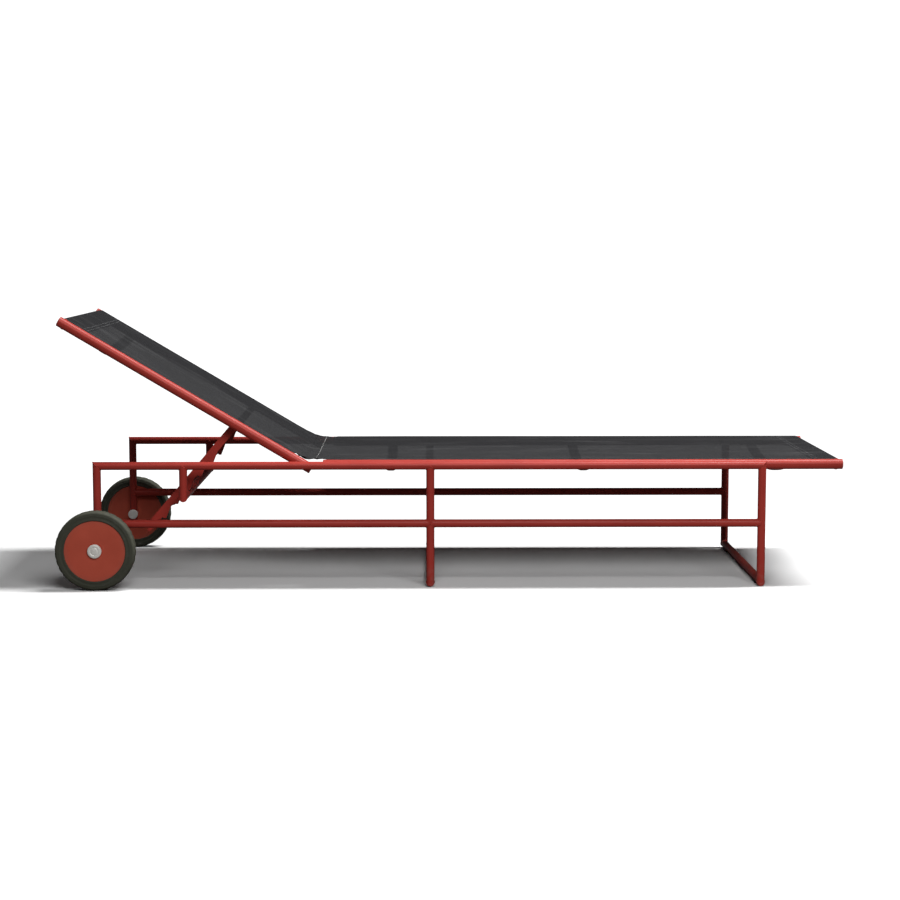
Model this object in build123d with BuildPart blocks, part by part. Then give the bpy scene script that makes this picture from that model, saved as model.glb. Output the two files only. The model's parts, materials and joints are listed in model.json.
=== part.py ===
from build123d import *

import math
import os

# Reclining sun lounger with two transport wheels, in millimetres.
# +Z is up and Z = 0 is the floor. +X runs from the wheels (head end) to the foot end, and the
# origin is on the floor, midway along and across the lounger as it stands with its back raised.

# --- Overall sizes ---------------------------------------------------------------------------
overall_length = 1931.5        # tyre at the head end to the tips of the seat tubes
rail_spacing = 620.0           # centre to centre of the two top rails
rail_height = 300.0            # centre line of the top rails and the seat
lower_rail_height = 157.0
wheel_diameter = 195.0

# --- Frame tubes -----------------------------------------------------------------------------
frame_tube = 20.0
frame_wall = 1.5
mid_leg_reach = 816.5          # from the wheel axle
front_leg_reach = 1632.0
post_tail = 15.0               # head post below the axle
post_plug_thickness = 2.0
weld_gap = 0.05                # between a coped tube end and the tube that it is welded to
glide_thickness = 2.0          # glide under a floor bar
glide_length = 46.0
glide_width = 17.0
glide_wrap = 5.0               # how far a glide climbs the bar
glide_inset = 62.0             # from the rail's centre plane

# --- Ratchet hoop, which hangs from the top rails ---------------------------------------------
ratchet_reach = 211.0
ratchet_drop = 78.0            # ratchet bar below the top rails

# --- Sling tubes -----------------------------------------------------------------------------
sling_tube = 25.0
sling_wall = 1.8
keder_bore = 6.0
keder_lip = 1.2
keder_slot = 2.4
keder_rod = 5.0
keder_clearance = 0.3
plug_cap = 3.0
plug_round = 2.0
plug_spigot = 11.0
plug_spigot_length = 11.0
plug_spigot_drop = 3.6
seat_start_reach = 552.5       # seat tube plug, next to the hinge
cross_bar_inset = 16.0         # centre of the foot or head bar, from the tip of the side tubes
sling_thickness = 1.2
sling_clearance = 0.3
sling_side_inset = 4.0

# --- Bowed spreader bars under the sling ------------------------------------------------------
spreader_width = 26.0
spreader_depth = 16.0
spreader_bow = 30.0
spreader_drop = 2.0
spreader_reaches = (717.0, 1204.5, 1692.0)
back_spreader_along = 575.0

# --- Backrest --------------------------------------------------------------------------------
hinge_reach = 505.4            # backrest hinge, from the wheel axle
back_angle = 30.65             # above the seat, third notch
back_length = 693.0            # hinge to the tip of the back tubes
back_tail = 21.5               # back tube beyond the hinge
side_clearance = 0.5           # between a back tube and the top rail beside it
back_sling_start = 30.0        # from the hinge
pivot_pin = 7.0
pivot_bush = 10.0
pivot_head = 11.0
pivot_head_thickness = 2.5
pin_end_gap = 2.0
running_fit = 0.05             # on radius
end_play = 0.3

# --- Toothed strut ---------------------------------------------------------------------------
strut_pivot_along = 194.7      # from the hinge, on the centre line of the back tubes
strut_bar_inset = 29.5         # middle of a strut bar, from the back tube beside it
strut_thickness = 6.0
strut_width = 18.0
strut_length = 351.0           # pivot to the lower tip
strut_tip_taper = 14.0
notch_count = 5
notch_pitch = 46.0
notches_above = 2              # notches between the one in use and the pivot
notch_clearance = 0.8          # round the ratchet bar
bar_offset = 18.0              # ratchet bar, from the centre line of the strut
tooth_height = 9.0
tooth_lead = 3.0               # tooth tip beyond the notch
tooth_ramp = 26.0
tooth_face_angle = 206.0       # where the tooth's face meets the notch, in degrees
strut_rod = 12.0
strut_rod_depth = 7.0          # into the back tube
rod_bush = 16.0
rod_bush_lip = 2.0
collar_diameter = 20.0
collar_width = 5.0
tie_tube = 12.0
tie_wall = 1.5
tie_along = 322.0

# --- Wheels ----------------------------------------------------------------------------------
tyre_width = 36.0
tyre_height = 22.0
tyre_round = 8.0
wheel_offset = 40.0            # wheel's middle plane, outside the rail's centre plane
disc_recess = 3.0              # disc's faces, inside the tyre's
disc_round = 1.5
hub_diameter = 38.0
hub_width = 32.0
axle_diameter = 12.0
axle_bush = 16.0
hub_cap_diameter = 34.6
hub_cap_height = 6.0
hub_cap_round = 3.0
inner_cap_diameter = 26.0
inner_cap_height = 8.0
inner_cap_round = 2.0
spacer_diameter = 18.0

# --- Derived places --------------------------------------------------------------------------
wheel_radius = wheel_diameter / 2
axle_x = wheel_radius - overall_length / 2
axle_z = wheel_radius
rail_y = rail_spacing / 2
frame_radius = frame_tube / 2
sling_radius = sling_tube / 2
mid_leg_x = axle_x + mid_leg_reach
front_leg_x = axle_x + front_leg_reach
ratchet_x = axle_x + ratchet_reach
ratchet_height = rail_height - ratchet_drop
hinge_x = axle_x + hinge_reach
seat_start_x = axle_x + seat_start_reach
seat_tip_x = overall_length / 2
floor_bar_z = glide_thickness + frame_radius
seat_tube_y = rail_y - frame_radius - sling_radius
back_tube_y = seat_tube_y - side_clearance
back_inner_y = back_tube_y - sling_radius
strut_bar_y = back_inner_y - strut_bar_inset
notch_radius = frame_radius + notch_clearance
keder_height = sling_radius - sling_wall - keder_bore / 2

head_dir = Vector(-math.cos(math.radians(back_angle)), 0, math.sin(math.radians(back_angle)))
back_plane = Plane(
    origin=(hinge_x, 0, rail_height),
    x_dir=head_dir,
    z_dir=(math.sin(math.radians(back_angle)), 0, math.cos(math.radians(back_angle))),
)


def on_back(along, across, above):
    """Point on the backrest: distance from the hinge, across (+Y) and above its tubes' centres."""
    return back_plane.from_local_coords((along, -across, above))


# The strut leans so that the ratchet bar lies bar_offset from the strut's centre line.
strut_pivot = on_back(strut_pivot_along, 0, 0)
to_bar = Vector(ratchet_x, 0, ratchet_height) - strut_pivot
bar_distance = math.hypot(to_bar.X, to_bar.Z)
strut_angle = math.atan2(-to_bar.Z, -to_bar.X) - math.asin(bar_offset / bar_distance)
notch_in_use = math.sqrt(bar_distance ** 2 - bar_offset ** 2)
strut_dir = Vector(-math.cos(strut_angle), 0, -math.sin(strut_angle))

# +Y is the left side of someone lying on the lounger.
sides = (("left", 1), ("right", -1))

os.makedirs("parts", exist_ok=True)


def save(part, name):
    """Label a finished piece and write it."""
    part.label = name
    export_step(part, f"parts/{name}.step")


def drill(centre, direction, radius, length):
    """Remove a round hole from the part in hand, both ways from its centre."""
    with BuildSketch(Plane(origin=centre, z_dir=direction)) as hole:
        Circle(radius)
    extrude(hole.sketch, amount=length / 2, both=True, mode=Mode.SUBTRACT)


def rod(start, end, diameter, bore=0.0):
    """Round bar or sleeve between two points."""
    axis = Vector(*end) - Vector(*start)
    with BuildPart() as piece:
        with BuildSketch(Plane(origin=start, z_dir=axis.normalized())):
            Circle(diameter / 2)
            if bore:
                Circle(bore / 2, mode=Mode.SUBTRACT)
        extrude(amount=axis.length)
    return piece


def tube(start, end, diameter, wall, start_mate=None, end_mate=None):
    """Tube along a centre line. A mate is the direction in which the tube mitred to that end leaves."""
    axis = (Vector(*end) - Vector(*start)).normalized()
    first = Vector(*start) - axis * (diameter if start_mate else 0)
    last = Vector(*end) + axis * (diameter if end_mate else 0)
    with BuildPart() as piece:
        with BuildSketch(Plane(origin=first, z_dir=axis)):
            Circle(diameter / 2)
            Circle(diameter / 2 - wall, mode=Mode.SUBTRACT)
        extrude(amount=(last - first).length)
        if start_mate:
            split(bisect_by=Plane(origin=start, z_dir=axis - Vector(*start_mate)), keep=Keep.TOP)
        if end_mate:
            split(bisect_by=Plane(origin=end, z_dir=axis * -1 - Vector(*end_mate)), keep=Keep.TOP)
    return piece


def cope(piece, point, direction, radius, length):
    """Shape a tube's end to sit against a round tube that passes through a point."""
    with BuildPart() as coped:
        add(piece.part)
        drill(point, direction, radius + weld_gap, length)
    return coped


def keder_tube(start, end, up):
    """Round tube with a slotted channel along its top that holds the sling's edge."""
    axis = (Vector(*end) - Vector(*start)).normalized()
    with BuildPart() as piece:
        with BuildSketch(Plane(origin=start, x_dir=Vector(*up).cross(axis), z_dir=axis)):
            Circle(sling_radius)
            Circle(sling_radius - sling_wall, mode=Mode.SUBTRACT)
            with Locations((0, keder_height)):
                Circle(keder_bore / 2 + keder_lip)
                Circle(keder_bore / 2, mode=Mode.SUBTRACT)
            with Locations((0, keder_height)):
                Rectangle(keder_slot, sling_tube, align=(Align.CENTER, Align.MIN), mode=Mode.SUBTRACT)
        extrude(amount=(Vector(*end) - Vector(*start)).length)
    return piece


def end_plug(face, outward, up):
    """Plug for the open end of a keder tube: a rounded cap and a spigot below the channel."""
    with BuildPart() as piece:
        with BuildSketch(Plane(origin=face, z_dir=outward)):
            Circle(sling_radius)
        extrude(amount=plug_cap)
        rim = piece.faces().sort_by(Axis(face, outward))[-1]
        fillet(rim.edges(), plug_round)
        root = Vector(*face) - Vector(*up) * plug_spigot_drop
        with BuildSketch(Plane(origin=root, z_dir=Vector(*outward) * -1)):
            Circle(plug_spigot / 2)
        extrude(amount=plug_spigot_length)
    return piece


def across_axle(distance, sign):
    """Plane across the wheel axle at a distance from the lounger's middle, facing outwards."""
    return Plane(origin=(axle_x, sign * distance, axle_z), z_dir=(0, sign, 0))


def spreader(place, long_dir, up, half_span):
    """Flat-oval bar across the frame, bowed down clear of the sling, with ends shaped to the tubes."""
    centre = Vector(*place)
    ends = [centre + Vector(0, sign * half_span, 0) for sign in (-1, 1)]
    middle = centre - Vector(*up) * spreader_bow
    with BuildPart() as piece:
        with BuildLine() as path:
            ThreePointArc(ends[0], middle, ends[1])
        with BuildSketch(Plane(origin=ends[0], x_dir=long_dir, z_dir=path.line % 0)):
            SlotOverall(spreader_width, spreader_depth)
        sweep(path=path.line)
        for sign in (-1, 1):
            side_tube = centre + Vector(0, sign * (half_span + sling_radius), 0) + Vector(*up) * spreader_drop
            drill(side_tube, long_dir, sling_radius + weld_gap, spreader_width * 2)
            outside = side_tube + Vector(0, sign * sling_radius, 0)
            with BuildSketch(Plane(origin=outside, x_dir=long_dir, z_dir=(0, sign, 0))):
                Rectangle(spreader_width * 2, sling_tube * 3)
            extrude(amount=-sling_radius, mode=Mode.SUBTRACT)
    return piece


# --- Base frame ------------------------------------------------------------------------------
for side, sign in sides:
    y = sign * rail_y
    head_corner = (axle_x, y, rail_height)
    front_corner = (front_leg_x, y, rail_height)
    down = (0, 0, -1)

    rail = tube(head_corner, front_corner, frame_tube, frame_wall, start_mate=down, end_mate=down)
    with BuildPart() as top_rail:
        add(rail.part)
        inner_wall = (hinge_x, y - sign * frame_radius, rail_height)
        drill(inner_wall, (0, 1, 0), pivot_bush / 2 + running_fit, frame_tube)
    save(top_rail.part, f"top_rail_{side}")

    with BuildPart() as head_post:
        post = tube(head_corner, (axle_x, y, axle_z - post_tail), frame_tube, frame_wall, start_mate=(1, 0, 0))
        add(post.part)
        drill((axle_x, y, axle_z), (0, 1, 0), axle_diameter / 2 + running_fit, frame_tube * 2)
    save(head_post.part, f"head_post_{side}")

    post_end_z = axle_z - post_tail
    plug = rod((axle_x, y, post_end_z), (axle_x, y, post_end_z - post_plug_thickness), frame_tube)
    save(plug.part, f"head_post_plug_{side}")

    spans = (("head", axle_x, mid_leg_x), ("foot", mid_leg_x, front_leg_x))
    for span, first_x, last_x in spans:
        lower = tube((first_x, y, lower_rail_height), (last_x, y, lower_rail_height), frame_tube, frame_wall)
        for post_x in (first_x, last_x):
            lower = cope(lower, (post_x, y, lower_rail_height), (0, 0, 1), frame_radius, frame_tube * 2)
        with BuildPart() as lower_rail:
            add(lower.part.solids().sort_by(SortBy.VOLUME)[-1])
        save(lower_rail.part, f"lower_rail_{span}_{side}")

    inward = (0, -sign, 0)
    mid_foot = (mid_leg_x, y, floor_bar_z)
    mid_leg = tube((mid_leg_x, y, rail_height), mid_foot, frame_tube, frame_wall, end_mate=inward)
    mid_leg = cope(mid_leg, (mid_leg_x, y, rail_height), (1, 0, 0), frame_radius, frame_tube * 2)
    save(mid_leg.part, f"mid_leg_{side}")

    front_foot = (front_leg_x, y, floor_bar_z)
    front_leg = tube(
        front_corner, front_foot, frame_tube, frame_wall, start_mate=(-1, 0, 0), end_mate=inward
    )
    save(front_leg.part, f"front_leg_{side}")

    hoop_corner = (ratchet_x, y, ratchet_height)
    hoop_post = tube((ratchet_x, y, rail_height), hoop_corner, frame_tube, frame_wall, end_mate=inward)
    hoop_post = cope(hoop_post, (ratchet_x, y, rail_height), (1, 0, 0), frame_radius, frame_tube * 2)
    save(hoop_post.part, f"ratchet_post_{side}")

# Bars across the frame, mitred to the posts above them at both ends.
cross_bars = (
    ("mid_floor_bar", mid_leg_x, floor_bar_z),
    ("front_floor_bar", front_leg_x, floor_bar_z),
    ("ratchet_bar", ratchet_x, ratchet_height),
)
for name, x, z in cross_bars:
    bar = tube(
        (x, -rail_y, z), (x, rail_y, z), frame_tube, frame_wall, start_mate=(0, 0, 1), end_mate=(0, 0, 1)
    )
    save(bar.part, name)

# Glides clipped under both floor bars keep the frame off the floor.
with BuildPart() as floor_glides:
    for x in (mid_leg_x, front_leg_x):
        for sign in (-1, 1):
            with BuildSketch(Plane(origin=(x, sign * (rail_y - glide_inset), 0))):
                RectangleRounded(glide_width, glide_length, glide_thickness)
            extrude(amount=glide_thickness + glide_wrap)
    for x in (mid_leg_x, front_leg_x):
        drill((x, 0, floor_bar_z), (0, 1, 0), frame_radius + weld_gap, rail_spacing)
save(floor_glides.part, "floor_glides")

# --- Seat frame, welded inside the top rails -------------------------------------------------
plug_start_x = seat_start_x + plug_cap
seat_end_x = seat_tip_x - plug_cap
for side, sign in sides:
    y = sign * seat_tube_y
    seat_tube = keder_tube((plug_start_x, y, rail_height), (seat_end_x, y, rail_height), (0, 0, 1))
    save(seat_tube.part, f"seat_tube_{side}")

with BuildPart() as seat_tube_plugs:
    for sign in (-1, 1):
        y = sign * seat_tube_y
        add(end_plug((plug_start_x, y, rail_height), (-1, 0, 0), (0, 0, 1)).part)
        add(end_plug((seat_end_x, y, rail_height), (1, 0, 0), (0, 0, 1)).part)
save(seat_tube_plugs.part, "seat_tube_plugs")

foot_bar_x = seat_tip_x - cross_bar_inset
foot_bar = tube(
    (foot_bar_x, -seat_tube_y, rail_height), (foot_bar_x, seat_tube_y, rail_height), sling_tube, sling_wall
)
for sign in (-1, 1):
    side_point = (foot_bar_x, sign * seat_tube_y, rail_height)
    foot_bar = cope(foot_bar, side_point, (1, 0, 0), sling_radius, sling_tube * 2)
with BuildPart() as seat_foot_bar:
    add(foot_bar.part.solids().sort_by(SortBy.VOLUME)[-1])
save(seat_foot_bar.part, "seat_foot_bar")

half_seat = seat_tube_y - sling_radius
for number, reach in enumerate(spreader_reaches, start=1):
    place = (axle_x + reach, 0, rail_height - spreader_drop)
    save(spreader(place, (1, 0, 0), (0, 0, 1), half_seat).part, f"seat_spreader_{number}")

with BuildPart() as seat_keder_rods:
    for sign in (-1, 1):
        rod_z = rail_height + keder_height + (keder_bore - keder_rod) / 2 - keder_clearance
        with BuildSketch(Plane(origin=(plug_start_x, sign * seat_tube_y, rod_z), z_dir=(1, 0, 0))):
            Circle(keder_rod / 2)
        extrude(amount=seat_end_x - plug_start_x)
save(seat_keder_rods.part, "seat_keder_rods")

sling_base = sling_radius + sling_clearance
seat_sling_length = foot_bar_x - seat_start_x
with BuildPart() as seat_sling:
    sling_centre_x = (foot_bar_x + seat_start_x) / 2
    with BuildSketch(Plane(origin=(sling_centre_x, 0, rail_height + sling_base))):
        Rectangle(seat_sling_length, 2 * (seat_tube_y - sling_side_inset))
    extrude(amount=sling_thickness)
save(seat_sling.part, "seat_sling")

# --- Hinge of the backrest --------------------------------------------------------------------
pin_outer_y = rail_y + frame_radius - frame_wall - pin_end_gap
bush_seat_y = pin_outer_y - running_fit
with BuildPart() as rail_pivot_bushes:
    for sign in (-1, 1):
        start_y = sign * (rail_y - frame_radius + running_fit)
        with BuildSketch(Plane(origin=(hinge_x, start_y, rail_height), z_dir=(0, sign, 0))):
            Circle(pivot_bush / 2)
            Circle(pivot_pin / 2 + running_fit, mode=Mode.SUBTRACT)
        extrude(amount=bush_seat_y - abs(start_y))
save(rail_pivot_bushes.part, "rail_pivot_bushes")

with BuildPart() as backrest_pivot_pins:
    for sign in (-1, 1):
        head_y = sign * (back_inner_y - end_play)
        with BuildSketch(Plane(origin=(hinge_x, head_y, rail_height), z_dir=(0, sign, 0))):
            Circle(pivot_pin / 2)
        extrude(amount=pin_outer_y - pin_end_gap - abs(head_y))
        with BuildSketch(Plane(origin=(hinge_x, head_y, rail_height), z_dir=(0, -sign, 0))):
            Circle(pivot_head / 2)
        extrude(amount=pivot_head_thickness)
save(backrest_pivot_pins.part, "backrest_pivot_pins")

# --- Backrest --------------------------------------------------------------------------------
back_up = back_plane.z_dir
tail_dir = head_dir * -1
for side, sign in sides:
    y = sign * back_tube_y
    side_tube = keder_tube(
        on_back(plug_cap - back_tail, y, 0), on_back(back_length - plug_cap, y, 0), back_up
    )
    with BuildPart() as back_tube:
        add(side_tube.part)
        drill((hinge_x, y, rail_height), (0, 1, 0), pivot_bush / 2 + weld_gap, sling_tube * 2)
        inner_wall = on_back(strut_pivot_along, sign * back_inner_y, 0)
        drill(inner_wall, (0, 1, 0), strut_rod / 2 + running_fit, strut_rod_depth * 2)
    save(back_tube.part, f"back_tube_{side}")

with BuildPart() as back_tube_plugs:
    for sign in (-1, 1):
        y = sign * back_tube_y
        add(end_plug(on_back(back_length - plug_cap, y, 0), head_dir, back_up).part)
        add(end_plug(on_back(plug_cap - back_tail, y, 0), tail_dir, back_up).part)
save(back_tube_plugs.part, "back_tube_plugs")

with BuildPart() as back_pivot_bushes:
    for sign in (-1, 1):
        inner_y = sign * (back_inner_y + running_fit)
        with BuildSketch(Plane(origin=(hinge_x, inner_y, rail_height), z_dir=(0, sign, 0))):
            Circle(pivot_bush / 2)
            Circle(pivot_pin / 2 + running_fit, mode=Mode.SUBTRACT)
        extrude(amount=sling_tube - 2 * running_fit)
save(back_pivot_bushes.part, "back_pivot_bushes")

head_bar_along = back_length - cross_bar_inset
head_bar = tube(
    on_back(head_bar_along, -back_tube_y, 0), on_back(head_bar_along, back_tube_y, 0), sling_tube, sling_wall
)
for sign in (-1, 1):
    side_point = on_back(head_bar_along, sign * back_tube_y, 0)
    head_bar = cope(head_bar, side_point, head_dir, sling_radius, sling_tube * 2)
with BuildPart() as back_head_bar:
    add(head_bar.part.solids().sort_by(SortBy.VOLUME)[-1])
save(back_head_bar.part, "back_head_bar")

back_spreader_place = on_back(back_spreader_along, 0, -spreader_drop)
back_bar = spreader(back_spreader_place, head_dir, back_up, back_inner_y)
save(back_bar.part, "back_spreader")

with BuildPart() as back_keder_rods:
    for sign in (-1, 1):
        above = keder_height + (keder_bore - keder_rod) / 2 - keder_clearance
        start = on_back(back_sling_start, sign * back_tube_y, above)
        with BuildSketch(Plane(origin=start, z_dir=head_dir)):
            Circle(keder_rod / 2)
        extrude(amount=back_length - plug_cap - back_sling_start)
save(back_keder_rods.part, "back_keder_rods")

back_sling_length = head_bar_along - back_sling_start
with BuildPart() as back_sling:
    sling_centre = on_back(back_sling_start + back_sling_length / 2, 0, sling_base)
    with BuildSketch(Plane(origin=sling_centre, x_dir=head_dir, z_dir=back_up)):
        Rectangle(back_sling_length, 2 * (back_tube_y - sling_side_inset))
    extrude(amount=sling_thickness)
save(back_sling.part, "back_sling")

# --- Strut and the rod that it swings on ------------------------------------------------------
rod_end_y = back_inner_y + strut_rod_depth - end_play
rod_centre = (strut_pivot.X, 0, strut_pivot.Z)
strut_pivot_rod = rod(
    (rod_centre[0], -rod_end_y, rod_centre[2]), (rod_centre[0], rod_end_y, rod_centre[2]), strut_rod
)
save(strut_pivot_rod.part, "strut_pivot_rod")

with BuildPart() as strut_rod_washers:
    for sign in (-1, 1):
        face_y = sign * (back_inner_y - end_play)
        with BuildSketch(Plane(origin=(rod_centre[0], face_y, rod_centre[2]), z_dir=(0, -sign, 0))):
            Circle(rod_bush / 2)
            Circle(strut_rod / 2 + running_fit, mode=Mode.SUBTRACT)
        extrude(amount=rod_bush_lip)
save(strut_rod_washers.part, "strut_rod_washers")

with BuildPart() as strut_rod_collars:
    for sign in (-1, 1):
        for face in (-1, 1):
            bar_face = strut_bar_y + face * (strut_thickness / 2 + end_play)
            origin = (rod_centre[0], sign * bar_face, rod_centre[2])
            with BuildSketch(Plane(origin=origin, z_dir=(0, sign * face, 0))):
                Circle(collar_diameter / 2)
                Circle(strut_rod / 2 + weld_gap, mode=Mode.SUBTRACT)
            extrude(amount=collar_width)
save(strut_rod_collars.part, "strut_rod_collars")

half_width = strut_width / 2
notch_places = [notch_in_use + (k - notches_above) * notch_pitch for k in range(notch_count)]
face_angle = math.radians(tooth_face_angle)
for side, sign in sides:
    strut_plane = Plane(
        origin=(rod_centre[0], sign * strut_bar_y, rod_centre[2]), x_dir=strut_dir, z_dir=(0, -1, 0)
    )
    with BuildPart() as strut_bar:
        with BuildSketch(strut_plane):
            Circle(half_width)
            with BuildLine():
                Polyline(
                    (0, -half_width),
                    (strut_length - strut_tip_taper, -half_width),
                    (strut_length, half_width / 2),
                    (strut_length - strut_tip_taper / 2, half_width),
                    (0, half_width),
                    close=True,
                )
            make_face()
            for place in notch_places:
                tip = (place - notch_radius - tooth_lead, half_width + tooth_height)
                foot_x = place + notch_radius * math.cos(face_angle)
                foot_y = bar_offset + notch_radius * math.sin(face_angle)
                with BuildLine():
                    Polyline((tip[0] - tooth_ramp, half_width), tip, (foot_x, foot_y), (foot_x, 0), close=True)
                make_face()
            for place in notch_places:
                with Locations((place, bar_offset)):
                    Circle(notch_radius, mode=Mode.SUBTRACT)
            Circle(strut_rod / 2 + running_fit, mode=Mode.SUBTRACT)
        extrude(amount=strut_thickness / 2, both=True)
    save(strut_bar.part, f"strut_bar_{side}")

tie_half = strut_bar_y - strut_thickness / 2
tie_centre = strut_pivot + strut_dir * tie_along
strut_tie = tube(
    (tie_centre.X, -tie_half, tie_centre.Z), (tie_centre.X, tie_half, tie_centre.Z), tie_tube, tie_wall
)
save(strut_tie.part, "strut_tie")

# --- Wheels ----------------------------------------------------------------------------------
wheel_y = rail_y + wheel_offset
hub_inner_y = wheel_y - hub_width / 2
hub_outer_y = wheel_y + hub_width / 2
post_outer_y = rail_y + frame_radius
tyre_inner_radius = wheel_radius - tyre_height
rim_radius = tyre_inner_radius - weld_gap
disc_width = tyre_width - 2 * disc_recess
for side, sign in sides:
    outward = Axis((axle_x, 0, axle_z), (0, sign, 0))
    inner_cap_y = rail_y - frame_radius - inner_cap_height
    axle_start_y = inner_cap_y + inner_cap_height / 2
    axle_end_y = hub_outer_y - end_play
    with BuildPart() as axle:
        with BuildSketch(across_axle(axle_start_y, sign)):
            Circle(axle_diameter / 2)
        extrude(amount=axle_end_y - axle_start_y)
    save(axle.part, f"axle_{side}")

    with BuildPart() as inner_cap:
        with BuildSketch(across_axle(inner_cap_y, sign)):
            Circle(inner_cap_diameter / 2)
        extrude(amount=inner_cap_height)
        fillet(inner_cap.edges().filter_by(GeomType.CIRCLE).sort_by(outward)[0], inner_cap_round)
        with BuildSketch(across_axle(axle_start_y, sign)):
            Circle(axle_diameter / 2 + running_fit)
        extrude(amount=inner_cap_height, mode=Mode.SUBTRACT)
    save(inner_cap.part, f"axle_inner_cap_{side}")

    with BuildPart() as axle_spacer:
        with BuildSketch(across_axle(post_outer_y, sign)):
            Circle(spacer_diameter / 2)
            Circle(axle_diameter / 2 + running_fit, mode=Mode.SUBTRACT)
        extrude(amount=hub_inner_y - end_play - post_outer_y)
    save(axle_spacer.part, f"axle_spacer_{side}")

    with BuildPart() as wheel_disc:
        with BuildSketch(across_axle(wheel_y - disc_width / 2, sign)):
            Circle(rim_radius)
        extrude(amount=disc_width)
        fillet(wheel_disc.edges().filter_by(GeomType.CIRCLE), disc_round)
        with BuildSketch(across_axle(hub_inner_y, sign)):
            Circle(hub_diameter / 2)
        extrude(amount=hub_width)
        with BuildSketch(across_axle(hub_inner_y, sign)):
            Circle(axle_bush / 2 + weld_gap)
        extrude(amount=hub_width, mode=Mode.SUBTRACT)
    save(wheel_disc.part, f"wheel_disc_{side}")

    with BuildPart() as wheel_bush:
        with BuildSketch(across_axle(hub_inner_y, sign)):
            Circle(axle_bush / 2)
            Circle(axle_diameter / 2 + running_fit, mode=Mode.SUBTRACT)
        extrude(amount=hub_width)
    save(wheel_bush.part, f"wheel_bush_{side}")

    with BuildPart() as tyre:
        with BuildSketch(across_axle(wheel_y - tyre_width / 2, sign)):
            Circle(wheel_radius)
        extrude(amount=tyre_width)
        fillet(tyre.edges().filter_by(GeomType.CIRCLE), tyre_round)
        with BuildSketch(across_axle(wheel_y, sign)):
            Circle(tyre_inner_radius)
        extrude(amount=tyre_width, both=True, mode=Mode.SUBTRACT)
    save(tyre.part, f"tyre_{side}")

    with BuildPart() as hub_cap:
        with BuildSketch(across_axle(hub_outer_y, sign)):
            Circle(hub_cap_diameter / 2)
        extrude(amount=hub_cap_height)
        fillet(hub_cap.edges().filter_by(GeomType.CIRCLE).sort_by(outward)[-1], hub_cap_round)
    save(hub_cap.part, f"hub_cap_{side}")
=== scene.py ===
import json
import math

import bmesh
import bpy
import numpy as np
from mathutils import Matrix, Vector


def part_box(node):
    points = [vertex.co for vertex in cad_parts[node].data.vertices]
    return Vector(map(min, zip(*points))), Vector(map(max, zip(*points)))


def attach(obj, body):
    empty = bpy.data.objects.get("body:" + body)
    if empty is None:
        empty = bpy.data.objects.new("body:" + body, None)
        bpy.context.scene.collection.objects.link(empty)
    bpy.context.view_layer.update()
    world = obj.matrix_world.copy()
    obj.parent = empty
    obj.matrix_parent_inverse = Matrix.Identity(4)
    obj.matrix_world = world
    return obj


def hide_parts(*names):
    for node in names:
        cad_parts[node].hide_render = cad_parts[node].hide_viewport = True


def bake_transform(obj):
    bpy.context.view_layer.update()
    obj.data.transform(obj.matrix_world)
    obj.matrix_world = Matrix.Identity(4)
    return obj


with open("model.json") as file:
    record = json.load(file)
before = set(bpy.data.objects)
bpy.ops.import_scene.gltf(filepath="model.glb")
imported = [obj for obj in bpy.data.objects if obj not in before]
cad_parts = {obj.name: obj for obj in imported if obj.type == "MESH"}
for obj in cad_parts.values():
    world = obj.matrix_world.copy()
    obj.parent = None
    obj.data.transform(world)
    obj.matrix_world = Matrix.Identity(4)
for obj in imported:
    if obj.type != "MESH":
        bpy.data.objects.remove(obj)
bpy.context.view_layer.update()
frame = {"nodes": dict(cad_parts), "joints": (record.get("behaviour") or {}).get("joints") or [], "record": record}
nodes = frame["nodes"]
record = frame["record"]
joints = {joint["name"]: joint for joint in frame["joints"]}


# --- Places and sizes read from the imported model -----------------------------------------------
def centre(node):
    low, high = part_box(node)
    return (Vector(low) + Vector(high)) / 2


def extent(node):
    low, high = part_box(node)
    return Vector(high) - Vector(low)


hinge = Vector(joints["backrest_lower"]["pos_m"])
back_angle = math.radians(-joints["backrest_lower"]["range_deg"][0])
head_dir = Vector((-math.cos(back_angle), 0, math.sin(back_angle)))
back_up = Vector((math.sin(back_angle), 0, math.cos(back_angle)))

rail_y = centre("top_rail_left").y
rail_z = centre("top_rail_left").z
frame_radius = extent("top_rail_left").z / 2
sling_radius = extent("seat_tube_left").z / 2
seat_tube_y = centre("seat_tube_left").y
back_tube_y = centre("back_tube_left").y
head_x = centre("head_post_left").x
mid_x = centre("mid_leg_left").x
front_x = centre("front_leg_left").x
ratchet = centre("ratchet_bar")
floor_bar_z = centre("front_floor_bar").z
lower_z = centre("lower_rail_foot_left").z
foot_bar = centre("seat_foot_bar")
head_bar = centre("back_head_bar")
seat_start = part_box("seat_tube_left")[0][0]
back_start = 0.030
wheel_radius = extent("tyre_left").x / 2


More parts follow.
